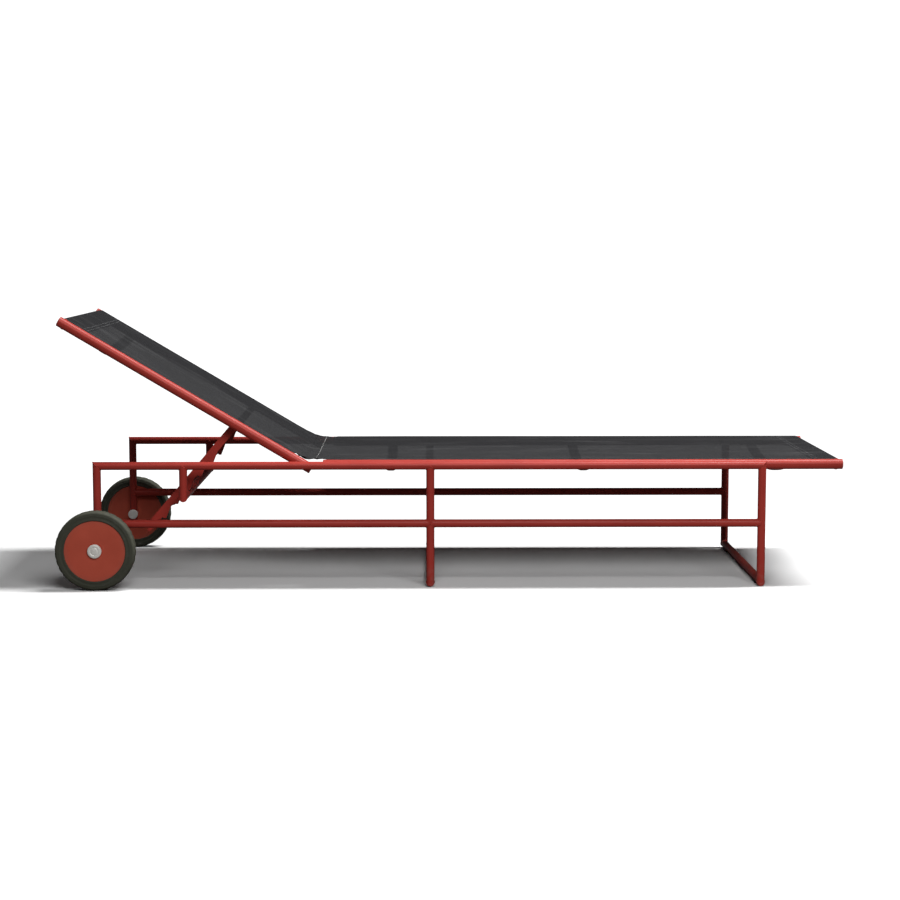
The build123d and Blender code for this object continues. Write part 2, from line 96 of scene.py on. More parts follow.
# --- Material helpers --------------------------------------------------------------------------
class Surface:
    """A Principled material whose patterns are laid out by small helper calls."""

    def __init__(self, name, **sockets):
        self.material = bpy.data.materials.new(name)
        self.material.use_nodes = True
        self.tree = self.material.node_tree
        self.shader = self.tree.nodes["Principled BSDF"]
        for socket, value in sockets.items():
            self.shader.inputs[socket.replace("_", " ")].default_value = value
        self.coord = self.tree.nodes.new("ShaderNodeTexCoord")

    def node(self, kind, inputs=None, **settings):
        made = self.tree.nodes.new(kind)
        for key, value in settings.items():
            setattr(made, key, value)
        for key, value in (inputs or {}).items():
            if isinstance(value, bpy.types.NodeSocket):
                self.tree.links.new(value, made.inputs[key])
            else:
                made.inputs[key].default_value = value
        return made

    def maths(self, operation, a, b=0.0):
        return self.node("ShaderNodeMath", {0: a, 1: b}, operation=operation).outputs[0]

    def noise(self, scale, detail=3.0, vector=None, roughness=0.55):
        place = self.coord.outputs["Object"] if vector is None else vector
        inputs = {"Vector": place, "Scale": scale, "Detail": detail, "Roughness": roughness}
        return self.node("ShaderNodeTexNoise", inputs).outputs["Fac"]

    def span(self, value, low, high, to_low=0.0, to_high=1.0):
        inputs = {"Value": value, "From Min": low, "From Max": high, "To Min": to_low, "To Max": to_high}
        return self.node("ShaderNodeMapRange", inputs).outputs["Result"]

    def mix(self, factor, a, b):
        made = self.node("ShaderNodeMix", {0: factor}, data_type="RGBA")
        for socket, value in ((made.inputs[6], a), (made.inputs[7], b)):
            if isinstance(value, bpy.types.NodeSocket):
                self.tree.links.new(value, socket)
            else:
                socket.default_value = (*value, 1)
        return made.outputs[2]

    def set(self, socket, value):
        self.tree.links.new(value, self.shader.inputs[socket])

    def bump(self, height, strength, distance, normal=None):
        inputs = {"Height": height, "Strength": strength, "Distance": distance}
        if normal is not None:
            inputs["Normal"] = normal
        return self.node("ShaderNodeBump", inputs).outputs["Normal"]


def powder_coat(name, colour, deep):
    """Satin powder coat: a fine orange peel, faint tone changes, dust near the floor and small chips."""
    s = Surface(name, Specular_IOR_Level=0.18)
    tone = s.span(s.noise(9.0, 4.0), 0.3, 0.7)
    colour_out = s.mix(tone, deep, colour)
    height = s.node("ShaderNodeSeparateXYZ", {0: s.coord.outputs["Object"]}).outputs[2]
    low_down = s.span(height, 0.0, 0.06, 1.0, 0.0)
    dust = s.maths("MULTIPLY", s.span(s.noise(55.0, 5.0), 0.42, 0.72), low_down)
    colour_out = s.mix(s.maths("MULTIPLY", dust, 0.45), colour_out, (0.30, 0.27, 0.24))
    chip = s.span(s.noise(170.0, 4.0, roughness=0.7), 0.70, 0.715)
    colour_out = s.mix(s.maths("MULTIPLY", chip, 0.7), colour_out, (0.11, 0.085, 0.08))
    s.set("Base Color", colour_out)
    s.set("Roughness", s.span(s.noise(38.0, 4.0), 0.25, 0.75, 0.34, 0.47))
    peel = s.bump(s.noise(620.0, 2.0), 0.35, 0.00025)
    s.set("Normal", s.bump(chip, 0.5, 0.0002, peel))
    return s.material


def moulded(name, colour, deep, rough=(0.45, 0.6)):
    """Moulded plastic: a fine spark-eroded grain with faint flow marks."""
    s = Surface(name, Specular_IOR_Level=0.4)
    s.set("Base Color", s.mix(s.span(s.noise(26.0, 5.0), 0.3, 0.7), deep, colour))
    s.set("Roughness", s.span(s.noise(60.0, 3.0), 0.3, 0.7, *rough))
    s.set("Normal", s.bump(s.noise(1500.0, 2.0), 0.4, 0.00015))
    return s.material


def rings(s, axle, count_per_metre):
    """A height that runs in fine rings round an axle that lies along Y."""
    x, _, z = s.node("ShaderNodeSeparateXYZ", {0: s.coord.outputs["Object"]}).outputs
    x = s.maths("SUBTRACT", x, axle.x)
    z = s.maths("SUBTRACT", z, axle.z)
    radius = s.maths("SQRT", s.maths("ADD", s.maths("MULTIPLY", x, x), s.maths("MULTIPLY", z, z)))
    return radius, s.maths("SINE", s.maths("MULTIPLY", radius, count_per_metre * 2 * math.pi))


def wheel_plastic(name, axle):
    """Matt red moulding with a little dust in the corner beside the tyre and faint turning rings."""
    s = Surface(name, Specular_IOR_Level=0.15)
    radius, ring = rings(s, axle, 900.0)
    tone = s.mix(s.span(s.noise(14.0, 5.0), 0.3, 0.7), (0.470, 0.078, 0.046), (0.545, 0.095, 0.057))
    edge = s.maths("MULTIPLY", s.span(radius, 0.062, 0.077), s.span(s.noise(45.0, 4.0), 0.35, 0.7))
    s.set("Base Color", s.mix(s.maths("MULTIPLY", edge, 0.30), tone, (0.21, 0.13, 0.11)))
    s.set("Roughness", s.span(s.noise(70.0, 3.0), 0.3, 0.7, 0.52, 0.66))
    grain = s.bump(s.noise(1500.0, 2.0), 0.35, 0.00015)
    s.set("Normal", s.bump(ring, 0.10, 0.0001, grain))
    return s.material


def satin_cap(name, axle):
    """Satin silver paint on a pressed cap, with fine concentric lines."""
    s = Surface(name, Metallic=0.15, Specular_IOR_Level=0.5)
    _, ring = rings(s, axle, 1600.0)
    s.set("Base Color", s.mix(s.span(s.noise(120.0, 4.0), 0.3, 0.7), (0.76, 0.74, 0.70), (0.88, 0.86, 0.82)))
    s.set("Roughness", s.span(s.noise(90.0, 3.0), 0.3, 0.7, 0.36, 0.48))
    s.set("Normal", s.bump(ring, 0.12, 0.0001))
    return s.material


def rubber(name):
    """Black-grey solid rubber, a little dusty where it rolls."""
    s = Surface(name, Specular_IOR_Level=0.3)
    tone = s.mix(s.span(s.noise(24.0, 5.0), 0.3, 0.7), (0.042, 0.044, 0.030), (0.060, 0.062, 0.044))
    dust = s.span(s.noise(85.0, 5.0, roughness=0.7), 0.52, 0.75)
    s.set("Base Color", s.mix(s.maths("MULTIPLY", dust, 0.35), tone, (0.085, 0.083, 0.075)))
    s.set("Roughness", s.span(s.noise(50.0, 4.0), 0.3, 0.7, 0.62, 0.82))
    s.set("Normal", s.bump(s.noise(1100.0, 3.0), 0.45, 0.0002))
    return s.material


def zinc(name):
    """Satin zinc-plated steel."""
    s = Surface(name, Metallic=1.0)
    s.set("Base Color", s.mix(s.span(s.noise(200.0, 5.0), 0.3, 0.7), (0.42, 0.42, 0.42), (0.60, 0.60, 0.58)))
    s.set("Roughness", s.span(s.noise(140.0, 4.0), 0.3, 0.7, 0.28, 0.45))
    s.set("Normal", s.bump(s.noise(900.0, 2.0), 0.2, 0.0001))
    return s.material


def mesh_weave(name):
    """PVC-coated mesh: flat yarns that pass over and under each other, with dark gaps between."""
    s = Surface(name, Specular_IOR_Level=0.07, Alpha=0.88, Sheen_Weight=0.02, Sheen_Roughness=0.5)
    pitch = 0.00125
    u, v, _ = s.node("ShaderNodeSeparateXYZ", {0: s.coord.outputs["UV"]}).outputs
    wave_u = s.maths("SINE", s.maths("MULTIPLY", u, math.pi / pitch))
    wave_v = s.maths("SINE", s.maths("MULTIPLY", v, math.pi / pitch))
    over = s.maths("MULTIPLY", s.maths("SIGN", s.maths("MULTIPLY", wave_u, wave_v)), 0.4)
    warp = s.maths("MULTIPLY", s.maths("ABSOLUTE", wave_u), s.maths("ADD", 0.6, over))
    weft = s.maths("MULTIPLY", s.maths("ABSOLUTE", wave_v), s.maths("SUBTRACT", 0.6, over))
    height = s.maths("MAXIMUM", warp, weft)
    is_warp = s.maths("GREATER_THAN", warp, weft)
    yarn = s.mix(is_warp, (0.022, 0.022, 0.024), (0.034, 0.034, 0.036))
    woven = s.mix(s.span(height, 0.25, 0.75), (0.009, 0.009, 0.010), yarn)
    # Long pale streaks along the cloth: partly faded, smudged yarn and partly painted sheen that lightens the
    # cloth where light would reflect off it.
    long_marks = s.node("ShaderNodeMapping", {0: s.coord.outputs["UV"], 3: (4.5, 27.0, 1.0)}).outputs[0]
    fading_and_painted_sheen = s.span(s.noise(1.0, 2.5, vector=long_marks), 0.54, 0.76)
    woven = s.mix(s.maths("MULTIPLY", fading_and_painted_sheen, 0.28), woven, (0.150, 0.150, 0.153))
    broad = s.span(s.noise(3.2, 3.0), 0.3, 0.7)
    s.set("Base Color", s.mix(s.maths("MULTIPLY", broad, 0.25), woven, (0.022, 0.022, 0.024)))
    s.set("Roughness", s.span(height, 0.2, 1.0, 0.62, 0.42))
    s.set("Normal", s.bump(height, 0.55, 0.0004))
    return s.material


def thread(name, dark, light):
    """Twisted polyester sewing thread."""
    s = Surface(name, Specular_IOR_Level=0.3, Sheen_Weight=0.3)
    s.set("Base Color", s.mix(s.noise(2600.0, 2.0), dark, light))
    s.set("Roughness", s.span(s.noise(800.0, 2.0), 0.3, 0.7, 0.6, 0.8))
    s.set("Normal", s.bump(s.noise(2400.0, 2.0), 0.5, 0.0002))
    return s.material


axle_point = Vector((head_x, 0, wheel_radius))
red, deep_red = (0.405, 0.042, 0.031), (0.350, 0.034, 0.025)
slots = {
    "frame_red": powder_coat("red_powder_coat", red, deep_red),
    # The spreaders get a darker copy of the frame's red powder coat: painted shade for the bars that sit in the
    # shadow under the sling.
    "spreader_red": powder_coat("red_powder_coat_spreaders_painted_shade", (0.33, 0.040, 0.029), (0.28, 0.033, 0.024)),
    "wheel_red": wheel_plastic("red_wheel_plastic", axle_point),
    "red_plastic": moulded("red_end_plugs", (0.39, 0.048, 0.035), (0.34, 0.040, 0.029), rough=(0.38, 0.52)),
    "sling_mesh": mesh_weave("charcoal_mesh"),
    "keder": moulded("keder_rod_plastic", (0.035, 0.035, 0.036), (0.02, 0.02, 0.021)),
    "tyre": rubber("tyre_rubber"),
    "black_plastic": moulded("black_nylon", (0.035, 0.035, 0.035), (0.018, 0.018, 0.018)),
    "silver_cap": satin_cap("satin_silver_cap", axle_point),
    "steel": zinc("zinc_plated_steel"),
}
for subpart in record["subparts"]:
    for material_slot in nodes[subpart["node"]].material_slots:
        material_slot.material = slots[subpart["material_slot"]]
charcoal_thread = thread("charcoal_thread", (0.035, 0.035, 0.038), (0.085, 0.085, 0.09))
pale_thread = thread("pale_thread", (0.34, 0.34, 0.33), (0.50, 0.50, 0.48))


# --- Mesh helpers ------------------------------------------------------------------------------
bead_sides = 8


def add_object(name, vertices, faces, material):
    mesh = bpy.data.meshes.new(name)
    mesh.from_pydata([tuple(v) for v in vertices], [], faces)
    mesh.validate()
    mesh.materials.append(material)
    made = bpy.data.objects.new(name, mesh)
    bpy.context.scene.collection.objects.link(made)
    mesh.polygons.foreach_set("use_smooth", [True] * len(mesh.polygons))
    bm = bmesh.new()
    bm.from_mesh(mesh)
    bmesh.ops.recalc_face_normals(bm, faces=bm.faces)
    bm.to_mesh(mesh)
    bm.free()
    return made


def closed_tube(points, radii):
    """Vertices and faces of a bead that follows a closed curve."""
    count, sides = len(points), bead_sides
    vertices, faces = [], []
    for i, point in enumerate(points):
        along = (points[(i + 1) % count] - points[i - 1]).normalized()
        helper = Vector((0.31, 0.52, 0.79))
        side = along.cross(helper).normalized()
        up = along.cross(side)
        for k in range(sides):
            turn = 2 * math.pi * k / sides
            vertices.append(point + (side * math.cos(turn) + up * math.sin(turn)) * radii[i])
    for i in range(count):
        for k in range(sides):
            j, m = (i + 1) % count, (k + 1) % sides
            faces.append((i * sides + k, i * sides + m, j * sides + m, j * sides + k))
    return vertices, faces


def join_meshes(meshes):
    """One list of vertices and faces from several."""
    vertices, faces = [], []
    for more_vertices, more_faces in meshes:
        start = len(vertices)
        vertices += more_vertices
        faces += [tuple(i + start for i in face) for face in more_faces]
    return vertices, faces


# --- Weld beads --------------------------------------------------------------------------------
bead_points = 64
bead_ripple = 0.13
saddle_weld = 0.0013
mitre_weld = 0.0008
spreader_weld = 0.0016
tie_weld = 0.0012
spreader_end = (0.0128, 0.0078)
spreader_drop = 0.002
left_proud = 0.1


def bead(points, radius):
    """A bead with the small ripples of a hand weld under paint."""
    radii = [radius * (1 + bead_ripple * math.sin(i * 2 * math.pi / 3.6)) for i in range(len(points))]
    return closed_tube(points, radii)


def saddle_bead(foot, away, across, end_radii, tube_radius, radius=saddle_weld):
    """Bead where a bar's end meets the side of a round tube. foot is on that tube's centre line."""
    away, across = Vector(away), Vector(across)
    third = away.cross(across)
    points = []
    for i in range(bead_points):
        turn = 2 * math.pi * i / bead_points
        sideways = end_radii[1] * math.sin(turn)
        reach = math.sqrt(max(tube_radius**2 - sideways**2, 0))
        points.append(foot + across * (end_radii[0] * math.cos(turn)) + third * sideways + away * reach)
    return bead(points, radius)


def mitre_bead(corner, first, second, tube_radius):
    """Bead round a mitred corner between two tubes that leave it in the two directions."""
    first, second = Vector(first), Vector(second)
    normal = first.cross(second).normalized()
    points = []
    for i in range(bead_points):
        turn = 2 * math.pi * i / bead_points
        in_plane = (first + second) * (-math.sin(turn) * tube_radius)
        points.append(corner + normal * (tube_radius * math.cos(turn)) + in_plane)
    return bead(points, mitre_weld)


def dressed(mesh, sign):
    """The same bead ground nearly flush on the rail's inner side, where the back tube passes it."""
    vertices, faces = mesh
    inner_side = rail_y - frame_radius
    for vertex in vertices:
        proud = inner_side - sign * vertex.y
        if proud > 0:
            vertex.y = sign * (inner_side - left_proud * proud)
    return vertices, faces


down, up_dir, foot_dir, wheel_dir = (0, 0, -1), (0, 0, 1), (1, 0, 0), (-1, 0, 0)
round_end = (frame_radius, frame_radius)
frame_beads = []
for sign in (-1, 1):
    y = sign * rail_y
    inward = (0, -sign, 0)
    head_bead = mitre_bead(Vector((head_x, y, rail_z)), foot_dir, down, frame_radius)
    frame_beads.append(dressed(head_bead, sign))
    frame_beads.append(mitre_bead(Vector((front_x, y, rail_z)), wheel_dir, down, frame_radius))
    frame_beads.append(mitre_bead(Vector((mid_x, y, floor_bar_z)), up_dir, inward, frame_radius))
    frame_beads.append(mitre_bead(Vector((front_x, y, floor_bar_z)), up_dir, inward, frame_radius))
    frame_beads.append(mitre_bead(Vector((ratchet.x, y, ratchet.z)), up_dir, inward, frame_radius))
    mid_post_bead, hoop_bead = (
        saddle_bead(Vector((x, y, rail_z)), down, foot_dir, round_end, frame_radius)
        for x in (mid_x, ratchet.x)
    )
    frame_beads += [mid_post_bead, dressed(hoop_bead, sign)]
    for x, away in ((head_x, foot_dir), (mid_x, wheel_dir), (mid_x, foot_dir), (front_x, wheel_dir)):
        frame_beads.append(saddle_bead(Vector((x, y, lower_z)), away, up_dir, round_end, frame_radius))
    foot_corner = Vector((foot_bar.x, sign * seat_tube_y, foot_bar.z))
    frame_beads.append(
        saddle_bead(foot_corner, inward, foot_dir, (sling_radius, sling_radius), sling_radius)
    )
    for number in (1, 2, 3):
        x = centre(f"seat_spreader_{number}").x
        end = Vector((x, sign * seat_tube_y, rail_z - spreader_drop))
        frame_beads.append(saddle_bead(end, inward, foot_dir, spreader_end, sling_radius, spreader_weld))
frame_welds = add_object("frame_weld_beads", *join_meshes(frame_beads), slots["frame_red"])
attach(frame_welds, "base")

spreader_along = (centre("back_spreader") - hinge).dot(head_dir)
back_beads = []
for sign in (-1, 1):
    inward = (0, -sign, 0)
    corner = Vector((head_bar.x, sign * back_tube_y, head_bar.z))
    back_beads.append(
        saddle_bead(corner, inward, head_dir, (sling_radius, sling_radius), sling_radius)
    )
    end = hinge + head_dir * spreader_along - back_up * spreader_drop + Vector((0, sign * back_tube_y, 0))
    back_beads.append(saddle_bead(end, inward, head_dir, spreader_end, sling_radius, spreader_weld))
back_welds = add_object("back_weld_beads", *join_meshes(back_beads), slots["frame_red"])
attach(back_welds, "backrest")

tie = centre("strut_tie")
tie_radius = extent("strut_tie").z / 2
tie_beads = []
for sign in (-1, 1):
    face = Vector((tie.x, sign * extent("strut_tie").y / 2, tie.z))
    tie_beads.append(
        bead(
            [
                face + Vector((math.cos(t), 0, math.sin(t))) * tie_radius
                for t in np.linspace(0, 2 * math.pi, 48, endpoint=False)
            ],
            tie_weld,
        )
    )
strut_welds = add_object("strut_weld_beads", *join_meshes(tie_beads), slots["frame_red"])
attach(strut_welds, "strut")


# --- Slings --------------------------------------------------------------------------------------
# Both slings are one surface, cut at the crease over the hinge. s runs along it, from the crease:
# negative up the back and positive down the seat. v runs across it from -1 to 1.
cloth_half = 0.0006
cloth_clearance = 0.0003
cloth_height = sling_radius + cloth_clearance + cloth_half
wrap_radius = cloth_height
pocket_depth = 0.046
pocket_drop = 0.0016
crease_round = 0.012
seam_from_crease = 0.026
free_edge_cut = 0.014
free_edge_lift = 0.0015
turn_in = 0.007
middle_sag = 0.0045
back_flat = (head_bar - hinge).dot(head_dir)
seat_flat = foot_bar.x - hinge.x
crease_gap = cloth_height * math.tan(back_angle / 2)
tangent_reach = math.hypot(pocket_depth, cloth_height - pocket_drop)
tangent_turn = math.atan2(cloth_height - pocket_drop, -pocket_depth) + math.acos(wrap_radius / tangent_reach)
wrap_turn = math.pi / 2 + 2 * math.pi - tangent_turn
flap = math.sqrt(tangent_reach**2 - wrap_radius**2)
hem = 0.014
length_seat = seat_flat - crease_gap
length_back = back_flat - crease_gap
wrap_length = wrap_radius * wrap_turn
tail_length = flap + hem


def pocket_point(beyond):
    """Place and outward normal past the bar's top, along the sheet: (forward, up) from the bar's centre."""
    if beyond <= wrap_length:
        turn = math.pi / 2 - beyond / wrap_radius
        normal = Vector((math.cos(turn), math.sin(turn)))
        return normal * wrap_radius, normal
    turn = math.pi / 2 - wrap_turn
    start = Vector((math.cos(turn), math.sin(turn))) * wrap_radius
    seam = Vector((-pocket_depth, cloth_height - pocket_drop))
    way = (seam - start).normalized()
    normal = Vector((-way.y, way.x))
    if beyond <= wrap_length + flap:
        return start + way * (beyond - wrap_length), normal
    return seam + Vector((-(beyond - wrap_length - flap), 0)), Vector((0, -1))


def centre_line(s):
    """Point and outward normal of the sling's middle line, in the XZ plane, before it sags."""
    crease = hinge + Vector((crease_gap, 0, cloth_height))
    if s > length_seat:
        place, normal = pocket_point(s - length_seat)
        return foot_bar + Vector((place.x, 0, place.y)), Vector((normal.x, 0, normal.y))
    if s < -length_back:
        place, normal = pocket_point(-s - length_back)
        return head_bar + head_dir * place.x + back_up * place.y, head_dir * normal.x + back_up * normal.y
    lift = 0.0
    if abs(s) < crease_round:
        lift = math.tan(back_angle / 2) * (crease_round - abs(s)) ** 2 / (2 * crease_round)
    share = min(max(0.5 - s / (2 * crease_round), 0), 1)
    normal = (Vector((0, 0, 1)) * (1 - share) + back_up * share).normalized()
    way = Vector((1, 0, 0)) if s > 0 else head_dir
    return crease + way * abs(s) + normal * lift, normal


def smooth(value):
    value = min(max(value, 0), 1)
    return value * value * (3 - 2 * value)


def held(s):
    """1 where the sheet's edges are in the tubes' slots, 0 at the free edges and round the bars."""
    seat_edge = seat_start + 0.003 - hinge.x - crease_gap
    back_edge = back_start - crease_gap
    if s > 0:
        return smooth((s - seat_edge) / 0.010) * smooth((length_seat + turn_in - s) / turn_in)
    return smooth((-s - back_edge) / 0.010) * smooth((length_back + turn_in + s) / turn_in)


def half_width(s):
    """Half the sheet's width, with a curved free edge over the hinge and narrower round the bars."""
    slot_y = seat_tube_y if s > 0 else back_tube_y
    ends = length_seat if s > 0 else length_back
    round_bar = slot_y - sling_radius - 0.0015
    narrow = smooth((abs(s) - ends) / turn_in)
    width = slot_y * (1 - narrow) + round_bar * narrow
    first, last = -0.010, seat_start + 0.012 - hinge.x - crease_gap
    if first < s < last:
        width -= free_edge_cut * math.sin(math.pi * (s - first) / (last - first)) ** 0.8
    return width


def wrinkle(s, y):
    """Creases over the hinge that fan out from where the tubes let the edges go, and faint slackness."""
    fade = smooth((length_seat - s) / 0.08) if s > 0 else smooth((length_back + s) / 0.08)
    seat_edge = seat_start - hinge.x - crease_gap
    total = 0.0
    for corner_s, lean in ((seat_edge, 1.0), (-back_start, -1.0)):
        for sign in (-1, 1):
            ds, dy = s - corner_s, seat_tube_y - sign * y
            reach = math.hypot(ds, dy)
            turn = math.atan2(ds * lean, max(dy, 1e-4))
            strength = 0.0021 * math.exp(-reach / 0.085) * smooth(reach / 0.03)
            total += strength * math.sin(11.0 * turn + 1.3 * sign + 0.7 * lean)
    total += 0.0009 * math.exp(-((s / 0.055) ** 2)) * math.sin(y * 61.0 + 2.0 * math.sin(y * 17.0) + s * 30.0)
    slack = 0.0005 * math.sin(s * 9.0 + 1.1) * math.sin(y * 14.0 + 0.6)
    total += slack + 0.0003 * math.sin(s * 23.0 + y * 31.0)
    return total * fade


def sag(s, across):
    """How far the slack between the tubes lets the sheet drop."""
    ends = smooth(abs(s) / 0.10) * 0.6 + 0.4
    ends *= smooth((length_seat - s) / 0.16) if s > 0 else smooth((length_back + s) / 0.16)
    return middle_sag * ends * (1 - across * across)


def sling_point(s, across, edge):
    """A point of the sling's middle surface. edge is how far past the lip the sheet goes into the slot."""
    place, normal = centre_line(s)
    grip = held(s)
    width = half_width(s)
    y = across * width
    free = 1 - grip
    inside = max(0.0, 1 - abs(across) ** 14)
    away = wrinkle(s, y) * (inside if grip > 0.5 else inside + free * (1 - inside)) - sag(s, across)
    if abs(s) < 0.06:
        away += free_edge_lift * across**6 * free * smooth(1 - abs(s) / 0.05)
    on_bar = smooth((abs(s) - (length_seat if s > 0 else length_back) + 0.02) / 0.02)
    away *= 1 - on_bar
    away -= edge * grip
    return place + normal * away + Vector((0, y, 0))


edge_drops = (0.0, 0.0003, 0.0012, 0.0026, 0.0043)
edge_steps = (0.0036, 0.0022, 0.0010, 0.0003, 0.0)


def sling_columns():
    """(across, inset, drop, cloth distance) of each column, with close columns at the slots."""
    inner = np.linspace(-1, 1, 61)
    left = [(-1.0, step, drop) for step, drop in zip(edge_steps[::-1], edge_drops[::-1])]
    right = [(1.0, step, drop) for step, drop in zip(edge_steps, edge_drops)]
    return left + [(float(a), 0.0, 0.0) for a in inner[1:-1]] + right


def sling_rows(first, last):
    """Stations along the sling, close together over the hinge and round the bars."""
    places = [first]
    while places[-1] < last - 1e-6:
        s = places[-1]
        near_bar = s > length_seat - 0.05 or s < -length_back + 0.05
        step = 0.0022 if abs(s) < 0.07 or near_bar else 0.007
        places.append(min(s + step, last))
    if places[-1] - places[-2] < 0.0008:
        places.pop(-2)
    return places


def make_sling(name, first, last, node):
    """One sheet as a closed skin, with its own cloth coordinates in metres as UVs."""
    columns = sling_columns()
    rows = sling_rows(first, last)
    grid, cloth = [], []
    for s in rows:
        width = half_width(s)
        line, places = [], []
        for across, inset, drop in columns:
            share = across * (1 - inset / width)
            line.append(sling_point(s, share, drop))
            places.append((s, share * width + math.copysign(drop, across)))
        grid.append(line)
        cloth.append(places)
    points = np.array(grid)
    along = np.gradient(points, axis=0)
    across = np.gradient(points, axis=1)
    normals = np.cross(across, along)
    normals /= np.linalg.norm(normals, axis=2, keepdims=True)
    if normals[len(rows) // 2, len(columns) // 2, 2] < 0:
        normals = -normals
    across_count, along_count = len(columns), len(rows)
    layer = across_count * along_count
    vertices = np.concatenate(
        [(points + normals * cloth_half).reshape(-1, 3), (points - normals * cloth_half).reshape(-1, 3)]
    )
    faces = []
    for i in range(along_count - 1):
        for j in range(across_count - 1):
            a, b = i * across_count + j, i * across_count + j + 1
            c, d = a + across_count, b + across_count
            faces.append((a, b, d, c))
            faces.append((layer + a, layer + c, layer + d, layer + b))
    rim = [(0, j) for j in range(across_count)] + [(i, across_count - 1) for i in range(1, along_count)]
    rim += [(along_count - 1, j) for j in range(across_count - 2, -1, -1)]
    rim += [(i, 0) for i in range(along_count - 2, 0, -1)]
    rim = [i * across_count + j for i, j in rim]
    for a, b in zip(rim, rim[1:] + rim[:1]):
        faces.append((a, layer + a, layer + b, b))
    made = add_object(name, vertices, faces, slots["sling_mesh"])
    flat = np.array(cloth).reshape(-1, 2)
    layer_uv = made.data.uv_layers.new(name="cloth")
    index = np.zeros(len(made.data.loops), dtype=np.int32)
    made.data.loops.foreach_get("vertex_index", index)
    layer_uv.data.foreach_set("uv", flat[index % layer].astype(np.float32).ravel())
    widths = [half_width(s) + held(s) * edge_drops[-1] for s in rows]
    area = sum((a + b) * (q - p) for a, b, p, q in zip(widths, widths[1:], rows, rows[1:]))
    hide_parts(node)
    return made, (2 * max(widths), rows[-1] - rows[0]), area


seat_end = length_seat + wrap_length + tail_length
back_end = length_back + wrap_length + tail_length
seat_cloth, seat_size, seat_area = make_sling("seat_sling_cloth", 0.0, seat_end, "seat_sling")
back_cloth, back_size, back_area = make_sling("back_sling_cloth", -back_end, 0.0, "back_sling")
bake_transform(seat_cloth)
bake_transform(back_cloth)


# --- Stitching of the pockets round the two bars, and of the seam beside the crease ----------------
stitch_length, stitch_gap, stitch_radius = 0.0032, 0.0012, 0.00035
row_spacing = 0.009
row_end = 0.010


def stitch_row(s):
    """Short lock stitches in a line across the top of the sling."""
    half = half_width(s) - row_end
    count = int(2 * half / (stitch_length + stitch_gap))
    meshes = []
    place, normal = centre_line(s)
    for i in range(count):
        y = -half + (i + 0.5) * (stitch_length + stitch_gap)
        vertices, faces = [], []
        for k, (offset, lift, size) in enumerate(
            ((-0.5, -0.0004, 0.5), (-0.3, 0.0001, 1.0), (0.3, 0.0001, 1.0), (0.5, -0.0004, 0.5))
        ):
            middle = sling_point(s, (y + offset * stitch_length) / half_width(s), 0.0)
            middle += normal * (cloth_half + lift)
            side = normal.cross(Vector((0, 1, 0)))
            for turn in np.linspace(0, 2 * math.pi, 6, endpoint=False):
                round_stitch = normal * math.cos(turn) + side * math.sin(turn)
                vertices.append(middle + round_stitch * stitch_radius * size)
            if k:
                for j in range(6):
                    a, b = (k - 1) * 6 + j, (k - 1) * 6 + (j + 1) % 6
                    faces.append((a, b, b + 6, a + 6))
        faces += [tuple(range(6)), tuple(range(18, 24))]
        meshes.append((vertices, faces))
    return meshes


seat_stitches = stitch_row(length_seat - pocket_depth)
seat_stitches += stitch_row(length_seat - pocket_depth - row_spacing)
back_stitches = stitch_row(pocket_depth - length_back)
back_stitches += stitch_row(pocket_depth + row_spacing - length_back)
crease_stitches = stitch_row(seam_from_crease)
for name, meshes, body, material in (
    ("seat_pocket_stitching", seat_stitches, "base", charcoal_thread),
    ("back_pocket_stitching", back_stitches, "backrest", charcoal_thread),
    ("crease_stitching", crease_stitches, "base", pale_thread),
):
    stitching = add_object(name, *join_meshes(meshes), material)
    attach(stitching, body)


# --- Turned pieces: tyres and hub caps -----------------------------------------------------------
def turned(name, axle, sign, profile, material, segments=192, notches=None, closed=True):
    """A piece turned about the axle from (radius, outward distance) points."""
    vertices, faces = [], []
    for i in range(segments):
        turn = 2 * math.pi * i / segments
        for k, (radius, outward) in enumerate(profile):
            if notches and k in notches and i % 6 < 2:
                radius -= 0.0007
            x, z = axle.x + radius * math.cos(turn), axle.z + radius * math.sin(turn)
            vertices.append((x, axle.y + sign * outward, z))
    size = len(profile)
    for i in range(segments):
        j = (i + 1) % segments
        for k in range(size if closed else size - 1):
            m = (k + 1) % size
            faces.append((i * size + k, i * size + m, j * size + m, j * size + k))
    if not closed:
        faces.append(tuple(i * size for i in range(segments)))
        faces.append(tuple(i * size + size - 1 for i in range(segments)))
    return add_object(name, vertices, faces, material)


def tyre_profile(outer, inner, half):
    """Crown with two grooves, rounded shoulders, a raised ring on each wall and a bead lip."""
    side = []
    for y in (0.0, 0.0035):
        side.append((outer, y))
    side += [(outer - 0.0003, 0.0040), (outer - 0.0014, 0.0042)]
    side += [(outer - 0.0014, 0.0056), (outer - 0.0003, 0.0058)]
    side += [(outer - 0.0001, 0.0066), (outer - 0.0002, half - 0.0072)]
    for turn in np.linspace(0.12, 1.0, 9) * math.pi / 2:
        side.append((outer - 0.0072 + 0.0070 * math.cos(turn), half - 0.0072 + 0.0070 * math.sin(turn)))
    wall = half - 0.0003
    side += [(outer - 0.0095, wall), (outer - 0.0100, half)]
    side += [(outer - 0.0118, half), (outer - 0.0123, wall)]
    side += [(outer - 0.0150, wall - 0.0002), (inner + 0.0040, wall - 0.0004), (inner + 0.0034, wall)]
    side += [(inner + 0.0012, wall), (inner + 0.0002, wall - 0.0008), (inner, wall - 0.0022)]
    mirrored = [(radius, -y) for radius, y in reversed(side) if y > 0]
    return side + mirrored


